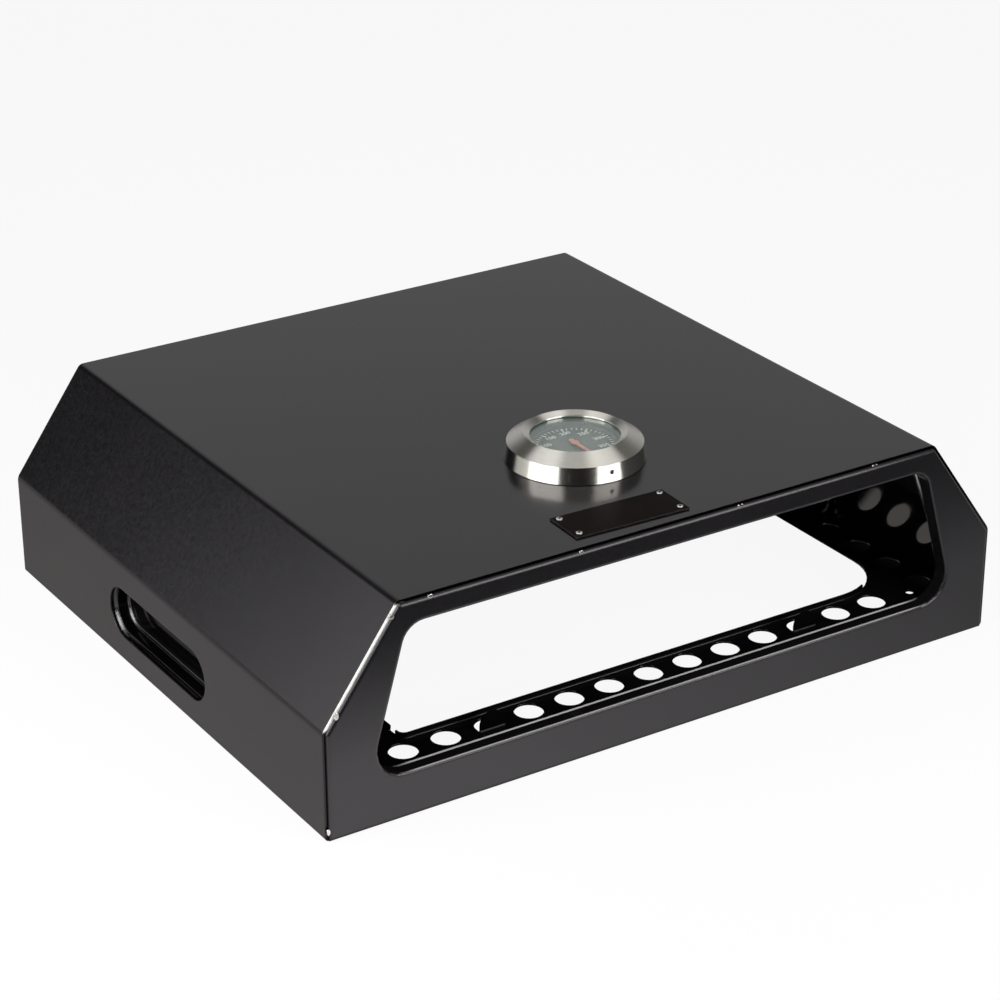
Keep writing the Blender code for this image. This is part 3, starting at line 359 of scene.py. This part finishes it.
def gloss_enamel(name, fold, level, mask_of, painted_tone, deep=1.0, matt=0.0):
    """Deep black baked enamel with a faint ripple, its coat drawn round the folds by the radius given.

    mask_of makes a mask of places coloured with the tone given as a metal, which are rougher by matt:
    painted highlights where that tone is light, painted shade where it is near black.
    deep scales the base colour."""
    g = Graph(name)
    place = g.place()
    ripple = g.noise(place, 160.0, 2.0)
    cloud = g.noise(place, 22.0, 3.0)
    dark, light = [[c * deep for c in tone] for tone in ((0.0028, 0.0026, 0.0030), (0.0050, 0.0047, 0.0050))]
    base = g.blend(g.span(cloud, 0.0, 1.0), colour(*dark), colour(*light))
    mask = mask_of(g)
    rough = g.math("ADD", g.span(ripple, 0.05, 0.10), g.product(mask, matt))
    g.coat(Base_Color=g.blend(mask, base, colour(*painted_tone)), Metallic=mask, Roughness=rough, IOR=1.5,
           Specular_IOR_Level=level, Normal=g.bump(ripple, 0.03, 0.0003, g.rounded(fold)))
    return g.mat


def off_the_ledge(g):
    """1 on the tray's lip, stops and skirt, which get painted shade in near black, and 0 on its ledge."""
    height = g.parts(g.place())["Z"]
    return g.math("ADD", g.rise(height, LEDGE_HIGH), g.fall(height, LEDGE_LOW))


def liner_roll(g):
    """1 on the front roll of a liner, where a highlight is painted."""
    end = FRONT + LINER_END + LINER_ROLL
    return g.fall(g.parts(g.place())["Y"], (end, end + LINER_FADE))


def cup_folds(g):
    """1 on the lip of a handle cup, and along the fold at its back, where highlights are painted."""
    inward = g.math("SUBTRACT", cad_box[1][0], g.math("ABSOLUTE", g.parts(g.place())["X"]))
    masks = []
    for near, far in (CUP_LIP, CUP_BACK_FOLD):
        start = g.rise(inward, (near - CUP_FADE_IN, near))
        masks.append(g.product(start, g.fall(inward, (far, far + CUP_FADE_OUT))))
    return g.math("MAXIMUM", *masks)


def plate_coat():
    """Nameplate: black print on thin metal, a little warmer and flatter than the lid."""
    g = Graph("matt_black_plate_coat")
    place = g.place()
    fine = g.noise(place, 1600.0, 2.0)
    cloud = g.noise(place, 60.0, 3.0)
    base = g.blend(g.span(cloud, 0.0, 1.0), colour(0.0054, 0.0036, 0.0036), colour(0.0080, 0.0055, 0.0053))
    worn = g.blend(g.product(g.edge_mask(0.0002), 0.5), base, colour(0.30, 0.29, 0.28))
    g.coat(Base_Color=worn, Roughness=g.span(fine, 0.34, 0.44), IOR=1.4, Specular_IOR_Level=0.02,
           Normal=g.bump(fine, 0.06, 0.0001))
    return g.mat


def turned_normal(g, x, y):
    """The normal of a truly round surface about the gauge's axis, in place of the facets' normals."""
    flat = g.add("ShaderNodeCombineXYZ")
    g.join(x, flat.inputs["X"])
    g.join(y, flat.inputs["Y"])
    outward = g.add("ShaderNodeVectorMath", operation="NORMALIZE")
    g.join(flat.outputs["Vector"], outward.inputs[0])
    facet = g.add("ShaderNodeNewGeometry").outputs["Normal"]
    along = g.vector("DOT_PRODUCT", facet, outward.outputs["Vector"])
    lift = g.parts(facet)["Z"]
    level = g.math("SQRT", g.math("MAXIMUM", g.math("SUBTRACT", 1.0, g.product(lift, lift)), 0.0))
    side = g.add("ShaderNodeVectorMath", operation="SCALE")
    g.join(outward.outputs["Vector"], side.inputs[0])
    g.join(g.product(level, g.math("SIGN", along)), side.inputs["Scale"])
    up = g.add("ShaderNodeCombineXYZ")
    g.join(lift, up.inputs["Z"])
    return g.vector("ADD", side.outputs["Vector"], up.outputs["Vector"])


def turned_steel(name, tone, low, high, twist):
    """Steel brushed round the gauge's axis: fine rings that stretch the highlights."""
    g = Graph(name)
    x, y, z = g.parts(g.vector("SUBTRACT", g.place(), (GAUGE.x, GAUGE.y, LID)))
    lines = g.add("ShaderNodeCombineXYZ")
    rings = g.math("ADD", g.product(g.length(x, y), BRUSH_RINGS), g.product(z, BRUSH_RINGS))
    g.join(rings, lines.inputs["X"])
    g.join(g.product(g.math("ARCTAN2", y, x), BRUSH_ROUND), lines.inputs["Y"])
    brush = g.noise(lines.outputs["Vector"], 1.0, 4.0, 0.7)
    cloud = g.noise(g.place(), 45.0, 2.0)
    base = g.blend(g.span(brush, 0.0, 1.0), colour(*[c * 0.86 for c in tone]), colour(*tone))
    warm = colour(tone[0] * 0.97, tone[1] * 0.93, tone[2] * 0.84)
    tangent = g.add("ShaderNodeTangent", direction_type="RADIAL", axis="Z")
    g.coat(Base_Color=g.blend(g.span(cloud, 0.0, 0.5), base, warm), Metallic=1.0,
           Roughness=g.span(brush, low, high), Anisotropic=twist, Anisotropic_Rotation=0.25,
           Tangent=tangent.outputs["Tangent"],
           Normal=g.bump(brush, 0.004, 0.00005, turned_normal(g, x, y)))
    return g.mat


def plain_metal(name, dark, light, low, high, scale):
    """Plated metal with a mottled sheen."""
    g = Graph(name)
    place = g.place()
    mottle = g.noise(place, scale, 4.0)
    fine = g.noise(place, scale * 9, 2.0)
    g.coat(Base_Color=g.blend(g.span(mottle, 0.0, 1.0), colour(*dark), colour(*light)), Metallic=1.0,
           Roughness=g.span(fine, low, high), Normal=g.bump(fine, 0.08, 0.0001))
    return g.mat


def eyelet_steel():
    """Bright rivet head with a dark eye in the middle."""
    g = Graph("eyelet_steel")
    fine = g.noise(g.place(), 8100.0, 2.0)
    generated = g.add("ShaderNodeTexCoord").outputs["Generated"]
    x, y, _ = g.parts(g.vector("SUBTRACT", generated, (0.5, 0.5, 0.0)))
    solid = g.rise(g.length(x, y), (0.22, 0.27))
    g.coat(Base_Color=g.blend(solid, colour(0.010, 0.009, 0.009), colour(0.80, 0.78, 0.76)), Metallic=solid,
           Roughness=g.span(fine, 0.22, 0.34), Normal=g.bump(fine, 0.08, 0.0001, g.rounded(0.0003)))
    return g.mat


def mix_out(g, fac, first, second):
    """Send a mix of two shaders to the material's output."""
    mix = g.add("ShaderNodeMixShader")
    g.join(fac, mix.inputs[0])
    g.join(first.outputs[0], mix.inputs[1])
    g.join(second.outputs[0], mix.inputs[2])
    g.join(mix.outputs[0], g.tree.nodes["Material Output"].inputs["Surface"])


def gauge_glass():
    """Flat glass: clear where it is looked through, with a light reflection and faint smears."""
    g = Graph("gauge_window_glass")
    smear = g.noise(g.place(), 60.0, 3.0)
    g.coat(Base_Color=colour(0.95, 0.985, 0.97), Transmission_Weight=1.0, IOR=1.45,
           Roughness=g.span(smear, 0.0, 0.035))
    clear = g.add("ShaderNodeBsdfTransparent")
    clear.inputs["Color"].default_value = colour(0.92, 0.96, 0.94)
    rays = g.add("ShaderNodeLightPath").outputs
    mix_out(g, g.math("MAXIMUM", rays["Is Shadow Ray"], rays["Is Diffuse Ray"]), g.shader, clear)
    return g.mat


def soft_finish(name, dark, light, low, high, scale, bump=0.05, fold=None):
    """Print, lacquer or rubber with a fine grain, drawn round its folds if a radius is given."""
    g = Graph(name)
    place = g.place()
    grain = g.noise(place, scale, 3.0)
    cloud = g.noise(place, scale / 12, 3.0)
    g.coat(Base_Color=g.blend(g.span(cloud, 0.0, 1.0), colour(*dark), colour(*light)),
           Roughness=g.span(grain, low, high),
           Normal=g.bump(grain, bump, 0.0001, g.rounded(fold) if fold else None))
    return g.mat


def dress(names, material):
    for name in names:
        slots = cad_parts[name].data.materials
        slots.clear()
        slots.append(material)


def dress_sheet_metal():
    dress(("outer_shell", "front_panel", "back_panel"), satin_paint())
    # Painted shade on the tray's lip, stops and skirt: a near-black rough metal colour that shows no
    # reflection
    tray = gloss_enamel("gloss_black_enamel_coat", 0.0006, 0.5, off_the_ledge, (0.004, 0.004, 0.004),
                        matt=0.5)
    dress(("stone_tray",), tray)
    # Painted highlight on the liners' front roll, in a bright metal colour
    liner = gloss_enamel("rolled_liner_enamel_coat", 0.0016, 0.5, liner_roll, (0.88, 0.87, 0.84))
    dress(("left_side_liner", "right_side_liner"), liner)
    # Handle cups: painted highlights in grey metal on the lip and back fold, and painted shade in the
    # hollow, whose coat is darkened and made far less glossy
    cup = gloss_enamel("pressed_cup_enamel_coat", 0.0024, 0.07, cup_folds, (0.13, 0.13, 0.13),
                       deep=0.25)
    dress(("left_handle_cup", "right_handle_cup"), cup)
    dress(("nameplate",), plate_coat())
    dress(["nameplate_rivet_%d" % i for i in (1, 2, 3, 4)], eyelet_steel())


def dress_gauge():
    dress(("thermometer_bezel",), turned_steel("brushed_bezel_steel", (0.80, 0.79, 0.74), 0.19, 0.23, 0.86))
    dress(("thermometer_stem", "thermometer_spindle", "bimetal_coil"),
          turned_steel("drawn_stem_steel", (0.66, 0.65, 0.62), 0.22, 0.34, 0.3))
    zinc = plain_metal("zinc_plate", (0.44, 0.44, 0.42), (0.58, 0.58, 0.56), 0.30, 0.46, 240.0)
    dress(("thermometer_case", "thermometer_nut", "thermometer_washer"), zinc)
    dress(("thermometer_glass",), gauge_glass())
    lacquer = soft_finish("grey_dial_lacquer", (0.100, 0.122, 0.112), (0.122, 0.145, 0.133),
                          0.26, 0.34, 900.0, 0.03, 0.0004)
    dress(("thermometer_dial",), lacquer)
    rubber = soft_finish("black_gasket_rubber", (0.008, 0.008, 0.008), (0.014, 0.014, 0.013),
                         0.6, 0.8, 700.0, 0.2)
    dress(("thermometer_gasket",), rubber)
    orange = soft_finish("orange_pointer_lacquer", (0.72, 0.27, 0.19), (0.80, 0.33, 0.24),
                         0.34, 0.46, 1500.0)
    dress(("thermometer_needle",), orange)


def add_mesh(name, bm, material):
    """Make a piece of the mesh, which rides on the oven."""
    mesh = bpy.data.meshes.new(name)
    bm.to_mesh(mesh)
    bm.free()
    mesh.materials.append(material)
    obj = bpy.data.objects.new(name, mesh)
    bpy.context.scene.collection.objects.link(obj)
    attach(obj, "oven")


def scale_angle(value):
    """Clock angle of a temperature on the dial, from +Y, in radians."""
    return radians(SCALE_REFERENCE_ANGLE + (value - SCALE_REFERENCE) * SCALE_DEGREES)


def on_dial(angle, radius):
    """Place of a print on the dial's face."""
    return Vector((GAUGE.x, GAUGE.y, DIAL_FACE + PRINT_SHEET)) + Vector((sin(angle), cos(angle), 0)) * radius


def build_ticks(ink):
    """Raised printed marks round the dial, longer at each named value."""
    bm = bmesh.new()
    for value in range(SCALE_FIRST, SCALE_LAST + 1, SCALE_STEP):
        major = value % SCALE_MAJOR == 0
        length = TICK_MAJOR if major else TICK_MINOR
        width = TICK_MAJOR_WIDTH if major else TICK_WIDTH
        angle = scale_angle(value)
        middle = on_dial(angle, TICK_OUTER - length / 2)
        turn = Matrix.Rotation(-angle, 4, "Z")
        size = Matrix.Diagonal((width, length, PRINT_SHEET, 1.0))
        bmesh.ops.create_cube(bm, size=1.0, matrix=Matrix.Translation(middle) @ turn @ size)
    bmesh.ops.bevel(bm, geom=bm.edges, offset=PRINT_SHEET / 4, segments=1, affect="EDGES")
    add_mesh("dial_scale_marks", bm, ink)


def build_numbers(ink):
    """Plain figures inside the marks."""
    bm = bmesh.new()
    for value in range(SCALE_FIRST, SCALE_LAST + 1, SCALE_MAJOR):
        text = bpy.data.curves.new("figure", "FONT")
        text.body = str(value)
        text.size = NUMBER_SIZE
        text.align_x = "CENTER"
        text.align_y = "CENTER"
        text.extrude = PRINT_SHEET / 2
        text.offset = PRINT_SHEET
        text.resolution_u = 4
        holder = bpy.data.objects.new("figure", text)
        bpy.context.scene.collection.objects.link(holder)
        holder.matrix_world = Matrix.Translation(on_dial(scale_angle(value), NUMBER_RADIUS))
        bpy.context.view_layer.update()
        mesh = bpy.data.meshes.new_from_object(holder.evaluated_get(bpy.context.evaluated_depsgraph_get()))
        mesh.transform(holder.matrix_world)
        bm.from_mesh(mesh)
        bpy.data.objects.remove(holder)
        bpy.data.meshes.remove(mesh)
    add_mesh("dial_figures", bm, ink)


def build_beads():
    """Small beads of weld left along the front seam and at the foot of the left front corner."""
    steel = plain_metal("weld_bead_steel", (0.42, 0.40, 0.38), (0.86, 0.84, 0.82), 0.12, 0.3, 1800.0)
    bm = bmesh.new()
    for i, (x, z, wide, high) in enumerate(BEADS):
        made = bmesh.ops.create_icosphere(bm, subdivisions=3, radius=1.0)
        centre = Vector((x, FRONT + BEAD_INSET, z))
        for vert in made["verts"]:
            lump = noise.noise(vert.co * BEAD_LUMP_SCALE + Vector((i * BEAD_LUMP_STEP, 0, 0)))
            ball = Vector((vert.co.x * wide, vert.co.y * BEAD_DEPTH, vert.co.z * high))
            spot = centre + ball * (1 + BEAD_LUMP * lump)
            spot.x = max(spot.x, cad_box[0][0] + BEAD_MARGIN)
            spot.y = max(spot.y, cad_box[0][1] + BEAD_MARGIN)
            vert.co = spot
    for face in bm.faces:
        face.smooth = True
    add_mesh("front_seam_weld_beads", bm, steel)


def make_world():
    """White to the camera, and for reflections a dim studio with brighter parts and darker gaps."""
    world = bpy.data.worlds.new("studio")
    bpy.context.scene.world = world
    world.use_nodes = True
    tree = world.node_tree
    tree.nodes.clear()
    coords = tree.nodes.new("ShaderNodeTexCoord")

    def math(operation, first, second, clamp=False):
        made = tree.nodes.new("ShaderNodeMath")
        made.operation = operation
        made.use_clamp = clamp
        for socket, value in zip(made.inputs, (first, second)):
            if isinstance(value, bpy.types.NodeSocket):
                tree.links.new(value, socket)
            else:
                socket.default_value = value
        return made.outputs[0]

    def total(first, *others):
        """All the values added up."""
        for other in others:
            first = math("ADD", first, other)
        return first

    def patch(direction, inner, outer, level):
        """The level near a direction and 0 away from it, by angle in degrees."""
        dot = tree.nodes.new("ShaderNodeVectorMath")
        dot.operation = "DOT_PRODUCT"
        dot.inputs[1].default_value = Vector(direction).normalized()
        tree.links.new(coords.outputs["Generated"], dot.inputs[0])
        ramp = tree.nodes.new("ShaderNodeMapRange")
        ramp.interpolation_type = "SMOOTHSTEP"
        ramp.inputs["From Min"].default_value = cos(radians(outer))
        ramp.inputs["From Max"].default_value = cos(radians(inner))
        tree.links.new(dot.outputs["Value"], ramp.inputs["Value"])
        return math("MULTIPLY", ramp.outputs["Result"], level)

    def unless(mask, value):
        """0 where the mask is 1, and the value where it is 0."""
        return math("MULTIPLY", math("SUBTRACT", 1.0, mask), value)

    even = total(patch(*BACKDROP), patch(*CEILING), STUDIO_LEVEL)
    gaps = total(patch(*GAP_LEFT), patch(*GAP_CAMERA))
    above = total(patch(*ZENITH), patch(*HIGH_LEFT), patch(*HIGH_RIGHT))
    studio = total(math("SUBTRACT", even, gaps, clamp=True), patch(*GLOW_LEFT), above)
    rays = tree.nodes.new("ShaderNodeLightPath").outputs
    seen = math("MAXIMUM", rays["Is Camera Ray"], rays["Is Transmission Ray"])
    glossy = rays["Is Glossy Ray"]
    level = total(math("MULTIPLY", glossy, studio), unless(glossy, DIFFUSE_LEVEL))
    background = tree.nodes.new("ShaderNodeBackground")
    tree.links.new(total(seen, unless(seen, level)), background.inputs["Strength"])
    output = tree.nodes.new("ShaderNodeOutputWorld")
    tree.links.new(background.outputs[0], output.inputs["Surface"])


def mirrored_floor(g):
    """How bright the floor is in reflections, with a painted shadow under the oven and painted pools of
    light beside and ahead of it, and a mask of the floor that isn't in front of the oven.
    """
    x, y, _ = g.parts(g.place())
    beside = g.math("SUBTRACT", g.math("ABSOLUTE", x), cad_box[1][0])
    before = g.math("SUBTRACT", g.math("ABSOLUTE", y), cad_box[1][1])
    clear = g.rise(g.math("MAXIMUM", beside, before), CLEAR_EDGE)
    strip = g.product(g.rise(beside, STRIP_INNER, STRIP_LEVEL), g.fall(beside, STRIP_OUTER),
                      g.fall(y, STRIP_FAR), g.rise(y, STRIP_NEAR))
    ends = cad_box[0][1]
    front = g.fall(y, [ends + step for step in AHEAD_START])
    near = g.rise(y, [ends + step for step in AHEAD_NEAR])
    ahead = g.product(near, g.span(x, *ACROSS_LEVELS, *ACROSS))
    aside = g.math("SUBTRACT", 1.0, front)
    lit = g.math("ADD", g.product(front, ahead), g.product(aside, g.span(y, *ALONG_LEVELS, *ALONG)))
    return g.product(g.math("MAXIMUM", clear, strip), lit), aside


def floor_coat():
    """Plain pale floor that stays white to the eye and still takes a shadow; in reflections it glows with
    painted light and a painted shadow under the oven, warmer beside it.
    """
    g = Graph("pale_floor")
    g.coat(Base_Color=colour(0.86, 0.86, 0.86), Roughness=0.9, Specular_IOR_Level=0.1)
    rays = g.add("ShaderNodeLightPath").outputs
    glossy = rays["Is Glossy Ray"]
    mirrored, aside = mirrored_floor(g)
    tint = g.blend(g.product(glossy, aside), colour(1.0, 1.0, 1.0), colour(*FLOOR_WARM))
    level = g.math("ADD", g.product(glossy, mirrored), g.math("SUBTRACT", 1.0, glossy))
    glow = g.add("ShaderNodeEmission")
    g.join(tint, glow.inputs["Color"])
    g.join(level, glow.inputs["Strength"])
    seen = g.math("MAXIMUM", rays["Is Camera Ray"], g.math("MAXIMUM", glossy, rays["Is Transmission Ray"]))
    mix_out(g, g.product(seen, FLOOR_GLOW), g.shader, glow)
    return g.mat


def make_floor():
    bm = bmesh.new()
    bmesh.ops.create_circle(bm, cap_ends=True, segments=96, radius=FLOOR_RADIUS)
    mesh = bpy.data.meshes.new("floor")
    bm.to_mesh(mesh)
    bm.free()
    mesh.materials.append(floor_coat())
    floor = bpy.data.objects.new("floor", mesh)
    floor.location.z = cad_box[0][2] - FLOOR_DROP
    bpy.context.scene.collection.objects.link(floor)


def make_lights():
    """Soft panels that face the middle of the oven."""
    for name, place, size, watts in PANELS:
        lamp = bpy.data.lights.new(name, "AREA")
        lamp.shape = "RECTANGLE"
        lamp.size, lamp.size_y = size
        lamp.energy = watts
        obj = bpy.data.objects.new(name, lamp)
        obj.location = place
        aim = Vector(PANEL_AIM) - Vector(place)
        obj.rotation_euler = aim.to_track_quat("-Z", "Y").to_euler()
        obj.visible_camera = False
        bpy.context.scene.collection.objects.link(obj)


def make_camera():
    """Long lens from the front left, 25 degrees above the floor."""
    camera = bpy.data.cameras.new("camera")
    camera.lens = CAMERA_LENS
    camera.sensor_width = CAMERA_SENSOR
    obj = bpy.data.objects.new("camera", camera)
    bpy.context.scene.collection.objects.link(obj)
    ahead = Vector(CAMERA_AHEAD).normalized()
    level = Vector((ahead.y, -ahead.x, 0)).normalized()
    above = level.cross(ahead).normalized()
    roll = asin(sin(radians(CAMERA_TILT)) / above.z)
    right = (level * cos(roll) + above * sin(roll)).normalized()
    up = right.cross(ahead).normalized()
    pose = Matrix((right, up, -ahead)).transposed().to_4x4()
    pose.translation = Vector(CAMERA_PLACE)
    obj.matrix_world = pose
    bpy.context.scene.camera = obj


def main():
    dress_sheet_metal()
    dress_gauge()
    ink = soft_finish("white_dial_ink", (0.86, 0.88, 0.87), (0.94, 0.96, 0.95), 0.4, 0.5, 1800.0)
    build_ticks(ink)
    build_numbers(ink)
    build_beads()
    make_world()
    make_floor()
    make_lights()
    make_camera()
    bpy.context.scene.view_settings.view_transform = "Standard"


main()
